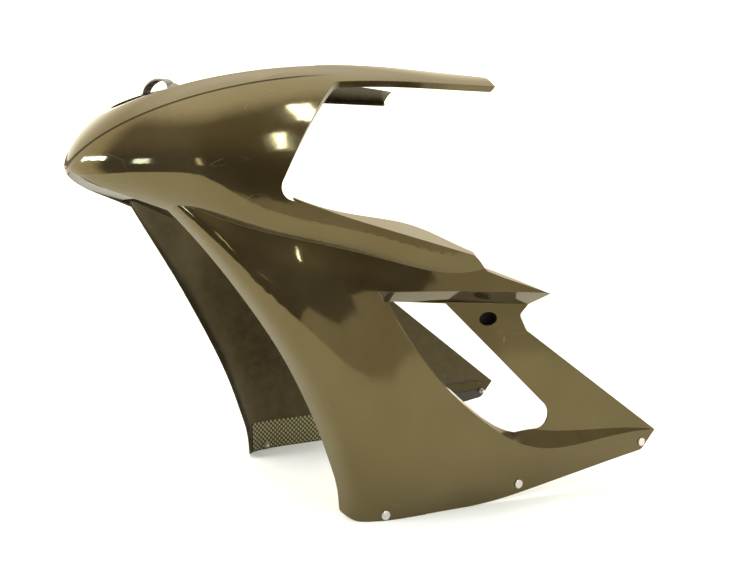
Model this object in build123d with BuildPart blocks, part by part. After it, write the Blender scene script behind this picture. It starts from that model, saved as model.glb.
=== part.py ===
from build123d import *
import math
import os

# One-piece moulded racing fairing that stands on the lower edges of its side panels.
# Stations run back from the nose tip, breadths out from the centre plane, heights up from the floor, in mm.
# The right half is modelled and mirrored. The moulding is an outer form less an inner one, then trimmed.

# Whole
fairing_length = 876.0
wall = 2.6

# Upper body: nose, shoulders and wings
nose_z = 492.0
wing_half = 228.0
wing_station = 662.0
wing_drop = 184.0
wing_drop_power = 1.6
tip_station = 0.3
tip_fullness = 3.0
tip_bluntness = 0.55
chin_drop = 22.0
chin_run = 15.0
chin_share = 0.30
chin_reach = 145.0
chin_spread = 25.0
tuck_slope = 0.26
tuck_share = 0.055
under_share = 0.72
under_drop = 0.10
keel_drop = 0.16
upper_sections = 10
upper_bunching = 2.4

# Screen rim, opening and arms
rim_half = 158.0
rim_station = 590.0
rim_rise = 133.0
rim_run = 400.0
rim_power = 0.6
rim_fall = 0.025
crown_share = 0.31
crown_fade = 0.8
crease_low = 3.0
crease_fade = 1.0
screen_joggle = 2.2
screen_step = 5.0
screen_rise = 139.0
screen_run = 391.0
screen_fall = 13.0
arm_station = 592.0
arm_slant = 4.0
arm_radius = 9.0

# Side panels
arch_half = 170.0
arch_top = 486.0
arch_power = 3.0
foot_station = 330.0
rake_run = 220.0
rake_height = 440.0
rake_power = 1.8
roll_depth = 38.0
roll_out = 44.0
panel_half = 221.0
panel_flare = 4.0
panel_tuck = 40.0
tuck_height = 400.0
rear_half = 228.0
panel_top = 450.0
panel_foot = -12.0
panel_sections = 6

# Hand cut-out with its return lip and shelves
arm_low = 614.5
neck_station = 327.0
neck_radius = 14.0
elbow = (236.0, 456.0)
elbow_radius = 18.0
step_top = (521.0, 368.0)
step_low = (545.0, 343.0)
step_radius = 30.0
wing_tip = (652.0, 308.0)
hand_outside = 270.0
hand_inside = 130.0
lip_depth = 11.0
lip_level = 170.0
lip_drop = 1.0
lip_back = 0.4
shelf_start = 252.0
shelf_rise = 0.5
shelf_width = 41.0
wing_shelf_shares = [(0, 0.15), (0.45, 0.64), (0.74, 1.0), (0.87, 0.65), (1, 0.3)]
tip_shelf_width = 14.0
tip_shelf_shares = [(0, 1.0), (0.4, 0.9), (0.75, 0.55), (1, 0.15)]

# Vent pocket, strut and tail
notch = (620.0, 274.0)
strut_back = (632.0, 250.0)
tail_top = (876.0, 73.0)
tail_low = (849.0, 43.0)
heel_station = 548.0
heel_radius = 700.0
pocket_brim = 254.0
pocket_slope = 0.104
pocket_base = 135.8
skin_base = 192.9
skin_slope = 0.039
vent_edge = [(362, 330), (410, 262), (480, 178), (556, 118), (625, 84), (720, 75), (900, 70)]
vent_lean = [(1.0, -0.73), (0.4, 0), (0.3, 0.3), (0.5, 0.6), (0.3, 1.05), (0, 1.15), (0, 1.2)]
ledge_slope = -0.11
ledge_lean = -0.75
vent_front = [(399, 306), (430, 255), (488, 183), (552, 122), (606, 98)]
vent_back = (496, 297)
vent_foot = (708, 94)
vent_radius = 22.0
strut_hole = (566.0, 271.0)
strut_hole_long = 30.0
strut_hole_short = 20.0

# Lower edge: lapped band, woven strip, quarter-turn studs and their rings
band_start = 400.0
band_ramp = 60.0
band_height = 25.0
edge_joggle = 1.0
weave = 0.8
bond = 0.1
strip_inset = 20.0
strip_low = 2.0
strip_high = 50.0
strip_tail = 16.0
stud_points = [(379.0, 8.0), (604.0, 22.0), (848.0, 56.0)]
stud_head = 13.3
stud_head_height = 2.4
stud_chamfer = 0.7
stud_shank = 6.0
stud_tip = 5.5
stud_reach = 7.0
stud_clearance = 0.2
slot_width = 1.6
slot_depth = 1.2
slot_turn = 25.0
ring_size = 11.0
ring_height = 1.6

# Strap hoop across the screen opening
strap = 2.5
hoop_station = 132.0
hoop_band = 11.0
hoop_half = 60.0
hoop_base = 600.0
hoop_rise = 17.0
hoop_foot = 46.0

# Room that cutting tools reach past the work
spare = 60.0
tool_reach = 320.0
panel_inside = 150.0
outwards = (0, 1, 0)


def swell(share, fullness, power):
    """Rising curve from 0 to 1 with an upright start, as a nose in plan."""
    share = min(max(share, 0.0), 1.0)
    return (1 - (1 - share) ** fullness) ** power


def belt(station):
    """Half breadth and height of the widest line."""
    share = station / wing_station
    breadth = wing_half * swell(share, tip_fullness, tip_bluntness)
    return breadth, nose_z - wing_drop * share**wing_drop_power


def rim(station):
    """Half breadth and height of the screen rim's crease."""
    breadth = rim_half * swell(station / rim_station, tip_fullness, tip_bluntness)
    height = nose_z + rim_rise * swell(station / rim_run, 2, rim_power)
    return breadth, height - rim_fall * max(station - rim_run, 0)


def tuck(station):
    """Half breadth and height of the undercut below the belt."""
    share = 1 - tuck_share - chin_share / (1 + math.exp((station - chin_reach) / chin_spread))
    drop = tuck_slope * station + chin_drop * (1 - math.exp(-station / chin_run))
    return belt(station)[0] * share, nose_z - drop


def screen_edge(station):
    """Height of the screen opening's edge, in side view."""
    share = min(station / screen_run, 1)
    return nose_z + screen_step + screen_rise * math.sqrt(1 - (1 - share) ** 2)


def inset_curve(points, inset):
    """Moves the points of an open curve to its right hand side."""
    moved = []
    for i, (u, v) in enumerate(points):
        before = points[max(i - 1, 0)]
        after = points[min(i + 1, len(points) - 1)]
        du, dv = after[0] - before[0], after[1] - before[1]
        size = math.hypot(du, dv)
        moved.append((u + inset * dv / size, v - inset * du / size))
    return moved


def side_plane(breadth=0.0):
    """Side view: local x is the station, local y the height."""
    return Plane((-fairing_length / 2, breadth, 0), (1, 0, 0), (0, -1, 0))


def front_plane(station):
    """Front view at a station: local x is the breadth, local y the height."""
    return Plane((station - fairing_length / 2, 0, 0), (0, 1, 0), (1, 0, 0))


def outline(plane, *corners):
    """Closed outline whose corners are (across, up, radius)."""
    with BuildSketch(plane) as face:
        with BuildLine():
            Polyline(*[corner[:2] for corner in corners], close=True)
        make_face()
        for across, up, radius in corners:
            if radius:
                fillet(face.vertices().sort_by_distance((across, up, 0))[0], radius)
    return face.sketch.face()


def upper_body(inset):
    """Right half of the nose and wing body, as a solid shrunk by the inset."""
    stations = [wing_station * (i / upper_sections) ** upper_bunching for i in range(1, upper_sections + 1)]
    sections = []
    for station in [tip_station, *stations]:
        slope = (belt(station * 1.05)[0] - belt(station * 0.95)[0]) / (0.1 * station)
        lean = math.hypot(slope, 1)
        shrink = inset / lean
        at = station + inset * slope / lean
        if station == stations[-1]:
            at = station + inset
        rim_y, rim_z = rim(station)
        belt_y, belt_z = belt(station)
        tuck_y, tuck_z = tuck(station)
        crown = crown_share * rim_y * (1 - crown_fade * min(station / rim_station, 1))
        profile = [
            (-inset, rim_z + crown - shrink),
            (rim_y - shrink * 0.6, rim_z - shrink * 0.8),
            (belt_y - shrink, belt_z),
            (tuck_y - shrink * 0.75, tuck_z + shrink * 0.66),
            (tuck_y * under_share, tuck_z - under_drop * tuck_y + shrink),
            (-inset, tuck_z - keel_drop * tuck_y + shrink),
        ]
        with BuildSketch(front_plane(at)) as section:
            with BuildLine():
                Spline(*profile, tangents=((1, 0), (-1, 0)))
                Line(profile[-1], profile[0])
            make_face()
        sections.append(section.sketch.face())
    with BuildPart() as body:
        loft(sections)
    return body.part


def panel_body(inset):
    """Right half between the side panels, as a solid shrunk by the inset."""
    rear = fairing_length + spare / 2
    rise = (panel_top - panel_foot) / panel_sections
    sections = []
    for i in range(panel_sections + 1):
        height = panel_foot + rise * i
        up = max(height, 0)
        edge_x = foot_station - rake_run * (up / rake_height) ** rake_power
        edge_y = arch_half * math.sqrt(1 - (up / arch_top) ** arch_power)
        sink = panel_tuck * (up / tuck_height) ** 2
        curve = [
            (edge_x - roll_depth * 0.8, edge_y - roll_out * 1.27),
            (edge_x, edge_y),
            (edge_x + roll_depth * 0.42, edge_y + roll_out * 0.76),
            (edge_x + roll_depth, edge_y + roll_out),
            (edge_x + roll_depth * 3, panel_half - sink),
            (edge_x + roll_depth * 6.6, panel_half + panel_flare - sink / 2),
            (rear, rear_half),
        ]
        curve = inset_curve(curve, inset)
        plane = Plane((-fairing_length / 2, 0, height - inset), (1, 0, 0), (0, 0, 1))
        with BuildSketch(plane) as section:
            with BuildLine():
                Spline(*curve)
                Polyline(curve[-1], (curve[-1][0], -inset), (curve[0][0], -inset), curve[0])
            make_face()
        sections.append(section.sketch.face())
    with BuildPart() as body:
        loft(sections)
    return body.part


def screen_face():
    """Side view of all that lies above the screen opening's edge."""
    base = nose_z + screen_step
    high = base + screen_rise
    top = high + spare * 2
    end = arm_station + spare
    with BuildSketch(side_plane()) as face:
        with BuildLine():
            EllipticalCenterArc((screen_run, base), screen_run, screen_rise, start_angle=90, arc_size=90)
            Spline((screen_run, high), (end, high - screen_fall), tangents=((1, 0), (1, -0.1)))
            Polyline((end, high - screen_fall), (end, top), (-spare, top), (-spare, base), (0, base))
        make_face()
    return face.sketch.face()


def rim_face(lift):
    """Side view of the screen rim that is pressed in by the joggle, fading out along the arm."""
    stations = [screen_run * share for share in (0.0025, 0.03, 0.115, 0.28, 0.51)]
    marks = [(station, rim(station)[1] - crease_low + lift) for station in stations]
    for share in (0.77, crease_fade):
        gap = 2 * (crease_fade - share) / crease_fade
        marks.append((screen_run * share, screen_edge(screen_run * share) + 3 * share - 9 * gap + lift))
    top = nose_z + screen_rise + spare * 2
    with BuildSketch(side_plane()) as face:
        with BuildLine():
            Spline(*marks)
            Polyline(marks[-1], (marks[-1][0], top), (-spare, top), (-spare, marks[0][1]), marks[0])
        make_face()
    return face.sketch.face()


def hand_face(breadth, grow):
    """Hand cut-out at one breadth: it closes in from the arm and the front as it goes inwards."""
    high = arm_low - lip_drop * (lip_level - breadth) + grow
    back = lip_back * (lip_level - breadth) - grow
    low = wing_tip[1] - 4 - grow
    far = wing_tip[0] + spare
    return outline(
        side_plane(breadth),
        (far, high, 0),
        (neck_station + back, high, neck_radius),
        (elbow[0] + back, elbow[1] - grow * 0.3, elbow_radius),
        (step_top[0], step_top[1] - grow, step_radius),
        (step_low[0], step_low[1] - grow, step_radius),
        (wing_tip[0] + 10, low, 0),
        (far, low, 0),
    )


def hand_tool(grow):
    """Tapering plug that makes the hand cut-out."""
    faces = [hand_face(hand_outside, grow), hand_face(hand_inside, grow)]
    with BuildPart() as plug:
        loft(faces, ruled=True)
    return plug.part


def pocket_tool(grow):
    """Pocket that sinks the strut behind the vent, with a ledge above it and a ramp below."""
    first, last = vent_edge[0], vent_edge[-1]
    lift = grow * math.hypot(ledge_lean, 1)
    edge = [(first[0] - 2 * lift, first[1] + lift), *inset_curve(vent_edge, grow)[1:]]
    edge.append((last[0], first[1] + ledge_slope * (last[0] - first[0]) + lift))
    brim, foot = [], []
    for (u, v), (du, dv) in zip(edge, [*vent_lean, (0, ledge_lean)]):
        level = skin_base + skin_slope * u
        rise = pocket_brim - level
        sink = level - pocket_base - pocket_slope * u + grow
        brim.append((u - du * rise, v - dv * rise))
        foot.append((u + du * sink, v + dv * sink))
    corner = (-fairing_length / 2, pocket_base - grow, 0)
    floor_plane = Plane(corner, (1, pocket_slope, 0), (pocket_slope, -1, 0))
    faces = []
    for plane, loop in ((side_plane(pocket_brim), brim), (floor_plane, foot)):
        with BuildSketch(plane) as face:
            with BuildLine():
                Spline(*loop[:-1])
                Polyline(loop[-2], loop[-1], loop[0])
            make_face()
        faces.append(face.sketch.face())
    with BuildPart() as tool:
        loft(faces, ruled=True)
    return tool.part


def shelf_slab(start, end, width, shares):
    """Return flange that rises inwards from a straight stretch of the wing's top edge."""
    along = Vector(*end) - Vector(*start)
    inward = Vector(0, -1, shelf_rise)
    plane = Plane(Vector(*start) - Vector(fairing_length / 2, 0, 0), along, along.cross(inward))
    edge = [(along.length * run, width * deep) for run, deep in shares]
    with BuildSketch(plane) as face:
        with BuildLine():
            Spline(*edge)
            Polyline(edge[-1], (along.length, -lip_depth), (0, -lip_depth), edge[0])
        make_face()
    slab_face = face.sketch.face()
    with BuildPart() as slab:
        extrude(slab_face, amount=wall)
    return slab.part


# Forms that bound the moulding, its pressed zones and what is bonded to it
skin = upper_body(0)
skin_pressed = upper_body(screen_joggle)
lining = upper_body(wall)
lining_pressed = upper_body(wall + screen_joggle)
lip_limit = upper_body(lip_depth)
strap_limit = upper_body(wall + screen_joggle + strap)
flank = panel_body(0)
flank_pressed = panel_body(edge_joggle)
flank_lining = panel_body(wall)
weave_skin = panel_body(wall + bond)
weave_lining = panel_body(wall + bond + weave)
pocket = pocket_tool(0)
pocket_lining = pocket_tool(wall)

# Screen rim, pressed in so that the screen sits flush
rim_line = rim_face(0)
rim_lining_line = rim_face(-wall)
with BuildPart() as rim_recess:
    extrude(rim_line, amount=tool_reach, dir=outwards)
    extrude(rim_line, amount=-spare, dir=outwards)
    add(skin_pressed, mode=Mode.SUBTRACT)
with BuildPart() as rim_lining_recess:
    extrude(rim_lining_line, amount=tool_reach, dir=outwards)
    extrude(rim_lining_line, amount=-spare, dir=outwards)
    add(lining_pressed, mode=Mode.SUBTRACT)

# Lower edge band, pressed in where the belly pan laps over it
edge_band = outline(
    side_plane(panel_inside),
    (band_start, -spare, 0),
    (band_start + band_ramp, band_height, 0),
    (heel_station, band_height, heel_radius),
    (tail_low[0], tail_low[1] + band_height, 0),
    (tail_top[0] + spare, tail_top[1] + band_height, 0),
    (tail_top[0] + spare, -spare, 0),
)
with BuildPart() as band_recess:
    extrude(edge_band, amount=tool_reach - panel_inside, dir=outwards)
    add(flank_pressed, mode=Mode.SUBTRACT)

with BuildPart() as outer:
    add(skin)
    add(rim_recess.part, mode=Mode.SUBTRACT)
    add(flank)
    add(band_recess.part, mode=Mode.SUBTRACT)
    add(pocket, mode=Mode.SUBTRACT)
with BuildPart() as inner:
    add(lining)
    add(rim_lining_recess.part, mode=Mode.SUBTRACT)
    add(flank_lining)
    add(pocket_lining, mode=Mode.SUBTRACT)

# Front opening, an arch in front view
arch_marks = (0, 0.3, 0.55, 0.75, 0.88, 0.96, 1)
arch_points = [(arch_half * math.sqrt(1 - m**arch_power), arch_top * m) for m in arch_marks]
with BuildSketch(front_plane(-spare)) as arch:
    with BuildLine():
        Spline(*arch_points, tangents=((0, 1), (-1, 0)))
        Polyline(arch_points[-1], (-spare, arch_top), (-spare, -spare), (arch_half, -spare), arch_points[0])
    make_face()

# Side view trims: screen opening, lower edge and tail, wing tip and strut, arm end, vent, strut hole, stud holes
screen_opening = screen_face()
lower_trim = outline(
    side_plane(-spare),
    (-spare, -spare, 0),
    (tail_top[0] + spare, -spare, 0),
    (tail_top[0] + spare, tail_top[1] + spare, 0),
    (tail_top[0] + spare / 2, tail_top[1] + spare / 2, 0),
    (*tail_top, 5),
    (*tail_low, 14),
    (heel_station, 0, heel_radius),
    (foot_station + 1, 0, 16),
    (foot_station - 4, 40, 0),
    (-spare, 40, 0),
)
rear_trim = outline(
    side_plane(-spare),
    (*wing_tip, 0),
    (*notch, 6),
    (*strut_back, 10),
    (*tail_top, 0),
    (tail_top[0] + spare, tail_top[1], 0),
    (tail_top[0] + spare, panel_top + spare, 0),
    (wing_tip[0], panel_top + spare, 0),
)
arm_trim = outline(
    side_plane(-spare),
    (arm_station - 2 * arm_radius, arm_low - spare, 0),
    (arm_station - 2 * arm_radius, arm_low - lip_depth, 0),
    (arm_station, arm_low - lip_depth, arm_radius),
    (arm_station - arm_slant, arm_low + 2 * spare, 0),
    (wing_station + spare, arm_low + 2 * spare, 0),
    (wing_station + spare, arm_low - spare, 0),
)
with BuildSketch(side_plane(panel_inside)) as vent:
    with BuildLine():
        Spline(*vent_front)
        Polyline(vent_front[-1], vent_foot, vent_back, vent_front[0])
    make_face()
    fillet(vent.vertices().sort_by_distance((*vent_foot, 0))[0], vent_radius)
with BuildSketch(side_plane(panel_inside)) as strut_eye:
    with Locations(strut_hole):
        Ellipse(strut_hole_long / 2, strut_hole_short / 2)
with BuildSketch(side_plane(panel_inside)) as stud_holes:
    with Locations(*stud_points):
        Circle(stud_shank / 2 + stud_clearance)

# Lip turned in round the hand cut-out, and the shelves turned in along the wing
plug = hand_tool(0)
plug_grown = hand_tool(wall)
with BuildPart() as lip:
    add(plug_grown)
    add(skin, mode=Mode.INTERSECT)
    add(plug, mode=Mode.SUBTRACT)
    add(lip_limit, mode=Mode.SUBTRACT)
shelf_line = (elbow[1] - step_top[1]) / (step_top[0] - elbow[0])
shelf_level = elbow[1] - shelf_line * (shelf_start - elbow[0])
wing_slab = shelf_slab(
    (shelf_start, belt(shelf_start)[0], shelf_level),
    (step_top[0], wing_half - 2, step_top[1]),
    shelf_width,
    wing_shelf_shares,
)
tip_slab = shelf_slab(
    (step_low[0] - 6, wing_half - 2, step_low[1] + 2),
    (wing_tip[0], wing_half, wing_tip[1] - 1),
    tip_shelf_width,
    tip_shelf_shares,
)
with BuildPart() as shelves:
    add(wing_slab)
    add(tip_slab)
    add(outer.part, mode=Mode.INTERSECT)

# Moulded shell
with BuildPart() as shell:
    add(outer.part)
    add(inner.part, mode=Mode.SUBTRACT)
    extrude(screen_opening, amount=tool_reach, dir=outwards, mode=Mode.SUBTRACT)
    extrude(arch.sketch, amount=spare + foot_station + 12, mode=Mode.SUBTRACT)
    add(plug, mode=Mode.SUBTRACT)
    add(lip.part)
    add(shelves.part)
    for trim in (lower_trim, rear_trim, arm_trim):
        extrude(trim, amount=tool_reach + spare, dir=outwards, mode=Mode.SUBTRACT)
    for hole in (vent, strut_eye, stud_holes):
        extrude(hole.sketch, amount=tool_reach - panel_inside, dir=outwards, mode=Mode.SUBTRACT)
    mirror(about=Plane.XZ)

# Woven strip bonded inside each lower edge
strip_line = outline(
    side_plane(panel_inside),
    (foot_station + strip_inset, strip_low, 4),
    (heel_station, strip_low, heel_radius),
    (tail_low[0], tail_low[1] + strip_low, 4),
    (tail_low[0], tail_low[1] + strip_tail, 4),
    (heel_station + band_ramp, strip_high, heel_radius / 2),
    (foot_station + strip_inset, strip_high, 4),
)
with BuildPart() as strip_right:
    extrude(strip_line, amount=tool_reach - panel_inside, dir=outwards)
    add(weave_skin, mode=Mode.INTERSECT)
    add(weave_lining, mode=Mode.SUBTRACT)
    extrude(stud_holes.sketch, amount=tool_reach - panel_inside, dir=outwards, mode=Mode.SUBTRACT)
with BuildPart() as strip_left:
    mirror(strip_right.part, about=Plane.XZ)

# Quarter-turn studs, seated on the outer face, and the rings pressed on their shanks
stud_list, ring_list = [], []
for station, height in stud_points:
    centre = Vector(station - fairing_length / 2, 0, height)
    stud_plane = Plane(centre, (1, 0, 0), outwards)
    bore_line = Axis(centre + Vector(0, tool_reach, 0), (0, -1, 0))
    seat = max(point.Y for point, _ in outer.part.find_intersection_points(bore_line))
    inside = seat - wall - bond - weave
    with BuildPart() as stud:
        with BuildSketch(stud_plane.offset(seat - stud_head_height)):
            Circle(stud_head / 2)
        extrude(amount=2 * stud_head_height)
        chamfer(stud.edges().group_by(Axis.Y)[-1], stud_chamfer)
        add(outer.part, mode=Mode.SUBTRACT)
        with BuildSketch(stud_plane.offset(seat + stud_head_height - slot_depth)):
            Rectangle(2 * stud_head, slot_width, rotation=slot_turn)
        extrude(amount=slot_depth, mode=Mode.SUBTRACT)
        with BuildSketch(stud_plane.offset(inside - ring_height)):
            Circle(stud_shank / 2)
        extrude(amount=seat - inside + ring_height + stud_clearance)
        with BuildSketch(stud_plane.offset(inside - ring_height - stud_reach)):
            Circle(stud_tip / 2)
        extrude(amount=stud_reach)
    stud_list.append(stud.part)
    with BuildPart() as ring:
        with BuildSketch(stud_plane.offset(inside - ring_height)):
            Circle(ring_size / 2)
            Circle(stud_shank / 2, mode=Mode.SUBTRACT)
        extrude(amount=2 * ring_height)
        add(weave_lining, mode=Mode.INTERSECT)
    ring_list.append(ring.part)
with BuildPart() as studs:
    add(stud_list)
    mirror(about=Plane.XZ)
with BuildPart() as rings:
    add(ring_list)
    mirror(about=Plane.XZ)

# Strap hoop bent over the screen opening, its feet bonded under the flange
hoop_plane = front_plane(hoop_station - hoop_band / 2)
with BuildSketch(hoop_plane) as bow:
    with Locations((0, hoop_base)):
        Ellipse(hoop_half, hoop_rise)
        Ellipse(hoop_half - strap, hoop_rise - strap, mode=Mode.SUBTRACT)
        Rectangle(3 * hoop_half, 2 * hoop_rise, align=(Align.CENTER, Align.MAX), mode=Mode.SUBTRACT)
with BuildSketch(hoop_plane) as foot_patch:
    with Locations((hoop_half + hoop_foot / 2 - strap, hoop_base)):
        Rectangle(hoop_foot, 2 * hoop_foot)
with BuildPart() as hoop_foot_right:
    extrude(foot_patch.sketch, amount=hoop_band)
    add(lining_pressed, mode=Mode.INTERSECT)
    add(strap_limit, mode=Mode.SUBTRACT)
with BuildPart() as hoop:
    add(hoop_foot_right.part)
    mirror(about=Plane.XZ)
    extrude(bow.sketch, amount=hoop_band)

nodes = {
    "fairing_shell": shell,
    "reinforcement_left": strip_left,
    "reinforcement_right": strip_right,
    "quarter_turn_studs": studs,
    "retaining_rings": rings,
    "screen_hoop": hoop,
}
os.makedirs("parts", exist_ok=True)
for name, node in nodes.items():
    node.part.label = name
    export_step(node.part, f"parts/{name}.step")
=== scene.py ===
import math

import bmesh
import bpy
from mathutils import Matrix, Vector


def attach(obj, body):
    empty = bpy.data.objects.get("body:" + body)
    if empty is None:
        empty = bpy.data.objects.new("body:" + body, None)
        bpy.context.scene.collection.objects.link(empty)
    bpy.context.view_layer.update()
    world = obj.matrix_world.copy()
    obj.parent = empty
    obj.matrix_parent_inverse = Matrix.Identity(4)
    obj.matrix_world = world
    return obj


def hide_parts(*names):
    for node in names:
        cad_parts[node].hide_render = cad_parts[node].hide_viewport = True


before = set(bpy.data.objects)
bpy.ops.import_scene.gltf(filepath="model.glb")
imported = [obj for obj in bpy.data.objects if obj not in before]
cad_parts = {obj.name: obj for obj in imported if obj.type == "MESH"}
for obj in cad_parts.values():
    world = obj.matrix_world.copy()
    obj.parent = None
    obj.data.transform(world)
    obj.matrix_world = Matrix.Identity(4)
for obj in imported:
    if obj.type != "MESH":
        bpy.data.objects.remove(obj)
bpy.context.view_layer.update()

# Moulded shell
# One glass-fibre moulding, laid up in a polished mould, so its outer face is a glossy black gelcoat.
# It is trimmed by hand, and years of handling have left it with hairline scratches, rub marks and dust.


class Wire:
    """A shader socket that takes part in Python expressions."""

    def __init__(self, tree, socket):
        self.tree = tree
        self.socket = socket

    def node(self, kind, settings=None, output=0, **links):
        """Any other node: its type, its settings, and the values or links of its sockets."""
        made = self.tree.nodes.new(kind)
        for name, value in (settings or {}).items():
            if name == "stops":
                ramp = made.color_ramp.elements
                while len(ramp) < len(value):
                    ramp.new(1.0)
                for stop, (place, colour) in zip(ramp, value):
                    stop.position = place
                    stop.color = (*colour, 1.0)
            else:
                setattr(made, name, value)
        for name, value in links.items():
            place = int(name[1:]) if name[1:].isdigit() else name.replace("_", " ")
            if isinstance(value, Wire):
                self.tree.links.new(value.socket, made.inputs[place])
            else:
                made.inputs[place].default_value = value
        return Wire(self.tree, made.outputs[output])

    def math(self, operation, other=0.0, third=0.0):
        return self.node("ShaderNodeMath", {"operation": operation}, i0=self, i1=other, i2=third)

    def __add__(self, other):
        return self.math("ADD", other)

    __radd__ = __add__

    def __mul__(self, other):
        return self.math("MULTIPLY", other)

    __rmul__ = __mul__

    def __sub__(self, other):
        return self.math("SUBTRACT", other)

    def __rsub__(self, other):
        return self.node("ShaderNodeMath", {"operation": "SUBTRACT"}, i0=other, i1=self)

    def __truediv__(self, other):
        return self.math("DIVIDE", other)

    def __pow__(self, other):
        return self.math("POWER", other)

    def band(self, low, high):
        """Eases from 0 at low to 1 at high."""
        settings = {"interpolation_type": "SMOOTHSTEP"}
        return self.node("ShaderNodeMapRange", settings, i0=self, i1=low, i2=high)

    def top(self, other):
        return self.math("MAXIMUM", other)

    def mix(self, low, high):
        """Colour that goes from low to high as this value goes from 0 to 1."""
        ends = {"i6": low, "i7": high}
        return self.node("ShaderNodeMix", {"data_type": "RGBA"}, output=2, i0=self, **ends)


def finish_of(name, **constants):
    """A new material: its object coordinates, and a function that joins wires to its shader."""
    made = bpy.data.materials.new(name)
    made.use_nodes = True
    tree = made.node_tree
    shader = tree.nodes["Principled BSDF"]
    for socket, value in constants.items():
        shader.inputs[socket.replace("_", " ")].default_value = value
    place = Wire(tree, tree.nodes.new("ShaderNodeTexCoord").outputs["Object"])

    def feed(**links):
        for socket, wire in links.items():
            tree.links.new(wire.socket, shader.inputs[socket.replace("_", " ")])

    return made, place, feed


def noise(place, scale, detail=3.0, rough=0.5):
    """Soft noise from 0 to 1 at so many cells to the metre."""
    return place.node("ShaderNodeTexNoise", Vector=place, Scale=scale, Detail=detail, Roughness=rough)


def turned(place, angles, stretch):
    """Object coordinates turned and stretched, so that marks run one way."""
    angles = tuple(math.radians(angle) for angle in angles)
    return place.node("ShaderNodeMapping", Vector=place, Rotation=angles, Scale=stretch)


def hairlines(place, angles, pitch, length, share):
    """Sparse straight scratches that run one way: pitch and length in metres."""
    along = turned(place, angles, (1 / length, 1 / pitch, 1 / pitch))
    cells = along.node("ShaderNodeTexVoronoi", {"feature": "DISTANCE_TO_EDGE"}, Vector=along, Scale=1.0)
    chosen = along.node("ShaderNodeTexVoronoi", {"feature": "F1"}, output=1, Vector=along, Scale=1.0)
    pick = chosen.node("ShaderNodeSeparateColor", i0=chosen)
    return (1 - cells.band(0.0, 0.012)) * pick.band(1 - share, 1 - share + 0.02)


gelcoat_black = (0.017, 0.012, 0.006, 1)
gelcoat_worn = (0.040, 0.032, 0.017, 1)
gelcoat_dust = (0.30, 0.27, 0.19, 1)
gelcoat_tint = (1.0, 0.79, 0.36, 1)
gelcoat, place, feed = finish_of("black_gelcoat", IOR=1.9, Specular_Tint=gelcoat_tint)
mottle = noise(place, 9.0, 5.0, 0.6)
haze = noise(place, 55.0, 4.0, 0.6)
scuff = noise(turned(place, (0, 28, 0), (4.0, 40.0, 40.0)), 1.0, 6.0, 0.7).band(0.60, 0.78)
lines = hairlines(place, (0, 22, 4), 0.030, 0.50, 0.10)
lines = lines.top(hairlines(place, (0, -38, 7), 0.036, 0.40, 0.07))
lines = lines * noise(place, 26.0).band(0.50, 0.62)
specks = place.node("ShaderNodeTexVoronoi", {"feature": "F1"}, Vector=place, Scale=420.0)
specks = (1 - specks.band(0.05, 0.12)) * noise(place, 14.0).band(0.50, 0.68)
base = (mottle.band(0.35, 0.75) * 0.8).mix(gelcoat_black, gelcoat_worn)
base = (lines * 0.35).top(specks * 0.3).top(scuff * 0.03).mix(base, gelcoat_dust)
rough = 0.05 + haze * 0.08 + scuff * 0.12 + lines * 0.15
edge_round = 0.0012
soft_edges = place.node("ShaderNodeBevel", {"samples": 4}, Radius=edge_round)
feed(Base_Color=base, Roughness=rough, Normal=soft_edges)

# A dark, dull line is painted along the corner of the screen rim's joggle, which runs from the nose tip up to
# the arms: painted shade for the shadow of the step.
nose_x = -0.438
nose_z = 0.492
joggle_foot = 0.4885
joggle_rise = 0.133
joggle_run = 0.4
joggle_power = 0.6
joggle_half_width = (0.0005, 0.0016)
joggle_fade = (0.26, 0.34)
joggle_shade_strength = 0.85
along_shell = place.node("ShaderNodeSeparateXYZ", i0=place)
behind_nose = along_shell - nose_x
above_floor = Wire(along_shell.tree, along_shell.socket.node.outputs[2])
bow = 1 - (1 - behind_nose / joggle_run) ** 2
off_joggle = above_floor - joggle_rise * bow.top(0.0) ** joggle_power - joggle_foot
joggle_shade_mask = (1 - off_joggle.math("ABSOLUTE").band(*joggle_half_width)) * (1 - behind_nose.band(*joggle_fade))
# The line mixes a dull near-black surface over the gloss: painted shade along the step.
joggle_shade_look = {"Base_Color": gelcoat_black, "Roughness": 0.9, "Specular_IOR_Level": 0.0}
painted_joggle_shade = joggle_shade_mask.node("ShaderNodeBsdfPrincipled", **joggle_shade_look)
polish = Wire(painted_joggle_shade.tree, gelcoat.node_tree.nodes["Principled BSDF"].outputs["BSDF"])
both = joggle_shade_mask.node("ShaderNodeMixShader", i0=joggle_shade_mask * joggle_shade_strength, i1=polish, i2=painted_joggle_shade)
gelcoat.node_tree.links.new(both.socket, gelcoat.node_tree.nodes["Material Output"].inputs["Surface"])

bare_black = (0.012, 0.009, 0.005, 1)
bare_brown = (0.030, 0.023, 0.013, 1)
bare, place, feed = finish_of("bare_laminate", IOR=1.55, Specular_Tint=gelcoat_tint)
fibres = noise(place, 60.0, 5.0, 0.65)
feed(Base_Color=fibres.band(0.3, 0.7).mix(bare_black, bare_brown), Roughness=0.30 + fibres * 0.15)

edge_foot = -0.108
rake_run = 0.220
rake_height = 0.440
trimmed_power = 1.8
swept_power = 1.57
sweep_fade = 0.12
sweep_start = 0.03
sweep_ease = 0.06
wing_drop = 0.184
wing_station = 0.662
wing_drop_power = 1.6
valley_depth = 0.012
valley_start = 0.03
valley_deepest = 0.10
valley_fade = 0.20
valley_front = (0.20, 0.08)
valley_back = (0.40, 0.12)
valley_outer = (0.10, 0.05)
inner_lean = -0.15


def eased(share):
    """Smooth step from 0 to 1."""
    share = min(max(share, 0.0), 1.0)
    return share * share * (3 - 2 * share)


def eased_from(value, span):
    """Smooth step that starts at the span's first value and takes its second."""
    start, length = span
    return eased((value - start) / length)


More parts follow.
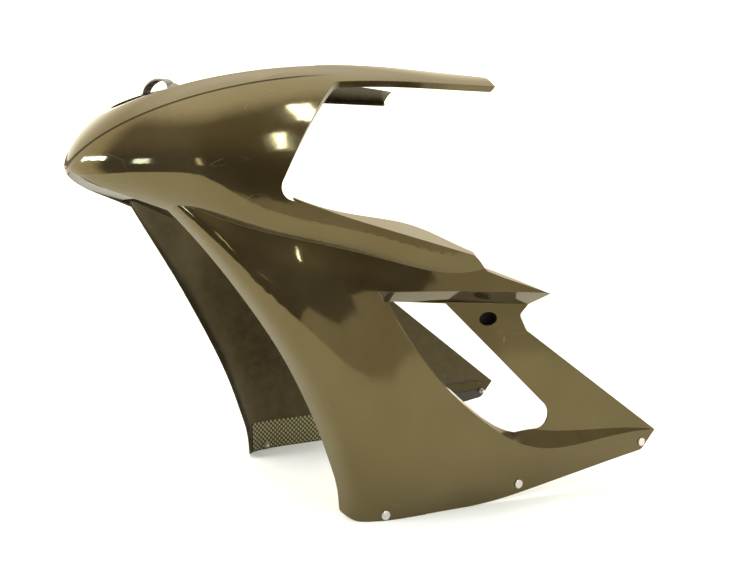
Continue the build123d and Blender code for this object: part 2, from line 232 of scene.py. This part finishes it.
def keep_piece(made, name, *finishes):
    """Makes a bmesh into a smooth-shaded piece of the moulding that rides on the part."""
    mesh = bpy.data.meshes.new(name)
    made.to_mesh(mesh)
    made.free()
    for finish in finishes:
        mesh.materials.append(finish)
    mesh.shade_smooth()
    mesh.set_sharp_from_angle(angle=math.radians(29))
    piece = bpy.data.objects.new(name, mesh)
    bpy.context.scene.collection.objects.link(piece)
    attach(piece, "root")
    return piece


def valley_fill(x, z):
    """How far the mould stands out under the wing's edge, where the valley is shallow."""
    station = x - nose_x
    belt = nose_z - wing_drop * max(station / wing_station, 0.0) ** wing_drop_power
    below = belt - z
    rise = eased((below - valley_start) / (valley_deepest - valley_start))
    across = rise * (1 - eased((below - valley_deepest) / valley_fade))
    return valley_depth * across * eased_from(station, valley_front) * (1 - eased_from(station, valley_back))


def swept_normal(spot, normal):
    """A corner's normal, leant over by the valley's fill."""
    step = 0.001
    here = valley_fill(spot.x, spot.z)
    lean = math.copysign(normal.y, normal.y * spot.y) / step
    slope_x = (valley_fill(spot.x + step, spot.z) - here) * lean
    slope_z = (valley_fill(spot.x, spot.z + step) - here) * lean
    return (normal - Vector((slope_x, 0, slope_z))).normalized()


# The leading edges and the valleys are drawn to the mould's own lines on a copy of the trimmed shell.
# Each corner keeps the exact normal of the trimmed shell, so that the gloss stays even.
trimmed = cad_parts["fairing_shell"].data
smooth = []
for loop, corner in zip(trimmed.loops, trimmed.corner_normals):
    smooth.append(swept_normal(trimmed.vertices[loop.vertex_index].co, corner.vector))
made = bmesh.new()
made.from_mesh(trimmed)
made.faces.ensure_lookup_table()
source = made.faces.layers.int.new("source_face")
for face in made.faces:
    face[source] = face.index
bmesh.ops.remove_doubles(made, verts=made.verts, dist=1e-5)
for vert in made.verts:
    fill = valley_fill(vert.co.x, vert.co.z) * eased_from(abs(vert.co.y), valley_outer)
    vert.co.y += math.copysign(fill, vert.co.y)
    height = min(max(vert.co.z / rake_height, 0.0), 1.0)
    behind = vert.co.x - edge_foot + rake_run * height**trimmed_power
    sweep = rake_run * (height**swept_power - height**trimmed_power)
    clear_of_strip = eased((vert.co.z - sweep_start) / sweep_ease)
    vert.co.x -= sweep * (1 - eased(behind / sweep_fade)) * clear_of_strip
for face in made.faces:
    outward = math.copysign(1.0, face.calc_center_median().y)
    face.material_index = int(face.normal.y * outward < inner_lean)
shell = keep_piece(made, "moulded_shell", gelcoat, bare)
numbers = shell.data.attributes["source_face"].data
kept = []
for polygon in shell.data.polygons:
    first = trimmed.polygons[numbers[polygon.index].value].loop_start
    kept.extend(smooth[first:first + polygon.loop_total])
shell.data.normals_split_custom_set(kept)
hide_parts("fairing_shell")

# Chin
# The mould closes under the beak back to the front of the wheel arch, in the same laminate.
# It is one skin with the shell, so it meets the shell's trimmed edge all round.
chin_front = 0.008
chin_back = 0.097
chin_wall = 0.0026
chin_slope = 0.26
chin_drop = 0.022
chin_run = 0.015
chin_seat = 0.001
chin_lift = 0.003
chin_spread = 0.297
chin_inset = 0.002
chin_hollow = 0.04
arch_half = 0.170
arch_top = 0.486
arch_power = 3
made = bmesh.new()
bmesh.ops.create_grid(made, x_segments=30, y_segments=14, size=1.0)
for vert in made.verts:
    station = chin_front + (chin_back - chin_front) * (vert.co.x + 1) / 2
    drop = chin_slope * station + chin_drop * (1 - math.exp(-station / chin_run))
    rim = nose_z - drop + chin_seat + chin_lift * (1 - station / chin_back)
    arch = arch_half * math.sqrt(max(0.0, 1 - (rim / arch_top) ** arch_power)) - chin_seat
    half = min(chin_spread * math.sqrt(station) - chin_inset, arch)
    hollow = chin_hollow * half * (1 - vert.co.y**2)
    vert.co = (nose_x + station, vert.co.y * half, rim + hollow)
bmesh.ops.recalc_face_normals(made, faces=made.faces)
if sum(face.normal.z for face in made.faces) > 0:
    bmesh.ops.reverse_faces(made, faces=made.faces)
bmesh.ops.solidify(made, geom=made.faces[:], thickness=chin_wall)
bmesh.ops.recalc_face_normals(made, faces=made.faces)
chin = keep_piece(made, "moulded_chin", bare)

# Strut recesses
# A shallow blind oval pressed into each rear strut, behind the trimmed oval; its inside is rough and painted
# near-black, as painted shade for the hollow.
recess_x = 0.128
recess_z = 0.271
recess_half = (0.0152, 0.0102)
recess_mouth = 0.1925
recess_floor = 0.1825
recess_wall = 0.0012
made = bmesh.new()
for hand in (-1, 1):
    depth = recess_mouth - recess_floor
    can = bmesh.ops.create_cone(
        made, cap_ends=True, segments=48, radius1=1.0, radius2=1.0, depth=depth
    )["verts"]
    bmesh.ops.rotate(made, verts=can, cent=(0, 0, 0), matrix=Matrix.Rotation(math.radians(90), 3, "X"))
    bmesh.ops.scale(made, vec=(recess_half[0], 1, recess_half[1]), verts=can)
    middle = hand * (recess_mouth + recess_floor) / 2
    bmesh.ops.translate(made, vec=(recess_x, middle, recess_z), verts=can)
mouths = [face for face in made.faces if abs(face.calc_center_median().y) > recess_mouth - 1e-4]
bmesh.ops.delete(made, geom=mouths, context="FACES")
bmesh.ops.solidify(made, geom=made.faces[:], thickness=-recess_wall)
bmesh.ops.recalc_face_normals(made, faces=made.faces)
# Darker than the gelcoat: painted shade inside the hollow.
recess_painted_shade = (0.006, 0.005, 0.003, 1)
recess_shade_finish, place, feed = finish_of("recess_with_painted_shade", IOR=1.3, Roughness=0.6, Base_Color=recess_painted_shade)
recesses = keep_piece(made, "strut_recesses", recess_shade_finish)

# Reinforcement
# A strip of hybrid cloth laid into the wet resin along the inside of each lower edge: black carbon tows
# one way, yellow aramid tows the other, soaked flush so that it shines.
tow = 0.0042
weave_yellow = (0.34, 0.29, 0.10, 1)
weave_dark = (0.020, 0.018, 0.012, 1)
weave, place, feed = finish_of("soaked_weave", IOR=1.5)
parts = place.node("ShaderNodeSeparateXYZ", i0=place)
across = parts / tow
upward = Wire(parts.tree, parts.socket.node.outputs[2]) / tow
column = across.math("FLOOR")
row = upward.math("FLOOR")
over = (column + row).math("PINGPONG", 1.0)
wave_x = ((across - column) * math.pi).math("SINE")
wave_z = ((upward - row) * math.pi).math("SINE")
height = over * wave_x + (1 - over) * wave_z
cloth_end = 0.205
cloth = 1 - parts.band(cloth_end - 0.004, cloth_end)
colour = (over * height.band(0.2, 0.5) * cloth).mix(weave_dark, weave_yellow)
bump = height.node("ShaderNodeBump", Height=height, Strength=0.4, Distance=0.0006)
feed(Base_Color=colour, Roughness=0.28 + (1 - height) * 0.2, Normal=bump)
for name in ("reinforcement_left", "reinforcement_right"):
    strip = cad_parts[name]
    strip.data.materials.clear()
    strip.data.materials.append(weave)

# Studs
# Slotted quarter-turn studs of zinc-plated steel, turned on a lathe and held captive through the edge.
stud_bright = (0.80, 0.78, 0.74, 1)
stud_dull = (0.50, 0.47, 0.42, 1)
plated, place, feed = finish_of("zinc_plated_steel", Metallic=1.0)
grime = noise(place, 700.0, 4.0, 0.6)
feed(Base_Color=grime.band(0.3, 0.7).mix(stud_dull, stud_bright), Roughness=0.22 + grime * 0.2)
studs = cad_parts["quarter_turn_studs"]
studs.data.materials.clear()
studs.data.materials.append(plated)

# Retaining rings
# Plain steel rings pressed over the shanks behind the panel, so that the studs can't fall out.
ring_clean = (0.45, 0.44, 0.42, 1)
ring_dark = (0.20, 0.18, 0.16, 1)
plain_steel, place, feed = finish_of("plain_steel", Metallic=1.0)
stain = noise(place, 500.0, 5.0, 0.65)
feed(Base_Color=stain.band(0.35, 0.7).mix(ring_dark, ring_clean), Roughness=0.35 + stain * 0.2)
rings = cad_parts["retaining_rings"]
rings.data.materials.clear()
rings.data.materials.append(plain_steel)

# Strap hoop
# A bent strap of the same laminate that holds the screen's foot, bonded under the flange by its two ends.
strap_black = (0.035, 0.030, 0.022, 1)
strap_grey = (0.09, 0.08, 0.06, 1)
laminate, place, feed = finish_of("strap_laminate", IOR=1.5)
grain = noise(turned(place, (0, 0, 0), (400.0, 30.0, 400.0)), 1.0, 4.0, 0.6)
feed(Base_Color=grain.band(0.3, 0.8).mix(strap_black, strap_grey), Roughness=0.25 + grain * 0.2)
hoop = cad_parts["screen_hoop"]
hoop.data.materials.clear()
hoop.data.materials.append(laminate)

# Floor
# A pale sheet that runs back without a horizon and ends in front of the part and to its left.
floor_front = -1.35
floor_back = 9.0
floor_left = -1.25
floor_right = 8.0
sheet_white = (0.93, 0.93, 0.90, 1)
sheet_shade = (0.88, 0.88, 0.84, 1)
made = bmesh.new()
bmesh.ops.create_grid(made, x_segments=1, y_segments=1, size=0.5)
bmesh.ops.scale(made, vec=(floor_right - floor_left, floor_back - floor_front, 1), verts=made.verts)
centre = ((floor_right + floor_left) / 2, (floor_back + floor_front) / 2, 0)
bmesh.ops.translate(made, vec=centre, verts=made.verts)
floor_mesh = bpy.data.meshes.new("floor")
made.to_mesh(floor_mesh)
made.free()
floor = bpy.data.objects.new("floor", floor_mesh)
bpy.context.scene.collection.objects.link(floor)
paper, place, feed = finish_of("pale_sheet", Roughness=0.8, Specular_IOR_Level=0.1)
feed(Base_Color=noise(place, 3.0).mix(sheet_white, sheet_shade))
floor_mesh.materials.append(paper)

# Light
# Bright backdrop behind, dim room in front above the sheet's level, and the windows that the gloss shows.
backdrop_white = (1.9, 1.75, 1.35, 1)
ceiling_white = (2.7, 2.65, 2.55, 1)
sheet_glow = (1.05, 1.0, 0.85, 1)
room_dim = (0.16, 0.135, 0.09, 1)
room_high = (0.60, 0.53, 0.37, 1)
world = bpy.data.worlds.new("studio")
bpy.context.scene.world = world
world.use_nodes = True
background = world.node_tree.nodes["Background"]
spread = Wire(world.node_tree, world.node_tree.nodes.new("ShaderNodeTexCoord").outputs["Generated"])
split = spread.node("ShaderNodeSeparateXYZ", i0=spread)
fore, side, up = (Wire(split.tree, socket) for socket in split.socket.node.outputs)
room_band = (0.15, 0.75)
sheet_band = (0.005, 0.04)
backdrop_band = (-0.05, 0.25)
ceiling_band = (0.75, 0.95)
tail_bend = 0.4
tail_rise = 0.9
nose_bend = -0.2
nose_fall = 0.5
room = up.band(*room_band).mix(room_dim, room_high)
sheet_level = up - tail_rise * (fore - tail_bend).top(0.0) - nose_fall * fore.math("MINIMUM", 0.0)
sheet_level = sheet_level - nose_fall * (fore - nose_bend).math("MINIMUM", 0.0)
sky = sheet_level.band(*sheet_band).mix(sheet_glow, room)
sky = side.band(*backdrop_band).mix(sky, backdrop_white)
sky = up.band(*ceiling_band).mix(sky, ceiling_white)
world.node_tree.links.new(sky.socket, background.inputs["Color"])


def soft_light(name, place, aim, size, power, colour):
    """A rectangular soft box that faces a point."""
    lamp = bpy.data.lights.new(name, "AREA")
    lamp.shape = "RECTANGLE"
    lamp.size, lamp.size_y = size
    lamp.energy = power
    lamp.color = colour
    box = bpy.data.objects.new(name, lamp)
    box.location = place
    box.rotation_euler = (Vector(aim) - Vector(place)).to_track_quat("-Z", "Y").to_euler()
    bpy.context.scene.collection.objects.link(box)
    return box


soft_light("upper_window", (0.04, -1.66, 2.17), (-0.17, -0.18, 0.56), (0.18, 0.5), 14, (0.75, 0.88, 1.0))
soft_light("lower_window", (-0.22, -2.11, 1.59), (-0.2, -0.18, 0.52), (0.05, 0.36), 3.4, (0.75, 0.88, 1.0))
soft_light("nose_window", (-2.76, 0.53, 1.10), (-0.41, -0.06, 0.5), (1.2, 0.28), 40, (0.55, 0.72, 1.0))
soft_light("side_window", (-2.58, -1.29, 0.68), (-0.37, -0.115, 0.5), (0.45, 0.5), 12, (0.55, 0.72, 1.0))
soft_light("room_window", (-1.54, -2.27, 0.79), (-0.267, -0.155, 0.395), (0.12, 0.5), 0.9, (1.0, 0.98, 0.94))
sheet_light = soft_light("sheet_light", (-1.0, 0.4, 1.6), (-1.0, 0.4, 0.0), (0.8, 0.8), 11, (1.0, 0.97, 0.88))
sheet_light.visible_glossy = False

# Camera
# Stands to the front left, a little above the shell, as in the photograph.
lens = bpy.data.cameras.new("camera")
lens.sensor_width = 36.0
lens.lens = 48.91
camera = bpy.data.objects.new("camera", lens)
camera.location = (-0.7316, -1.3996, 0.4755)
camera.rotation_euler = (math.radians(90 - 6.079), 0, math.radians(-28.587))
bpy.context.scene.collection.objects.link(camera)
bpy.context.scene.camera = camera
bpy.context.scene.view_settings.view_transform = "Standard"
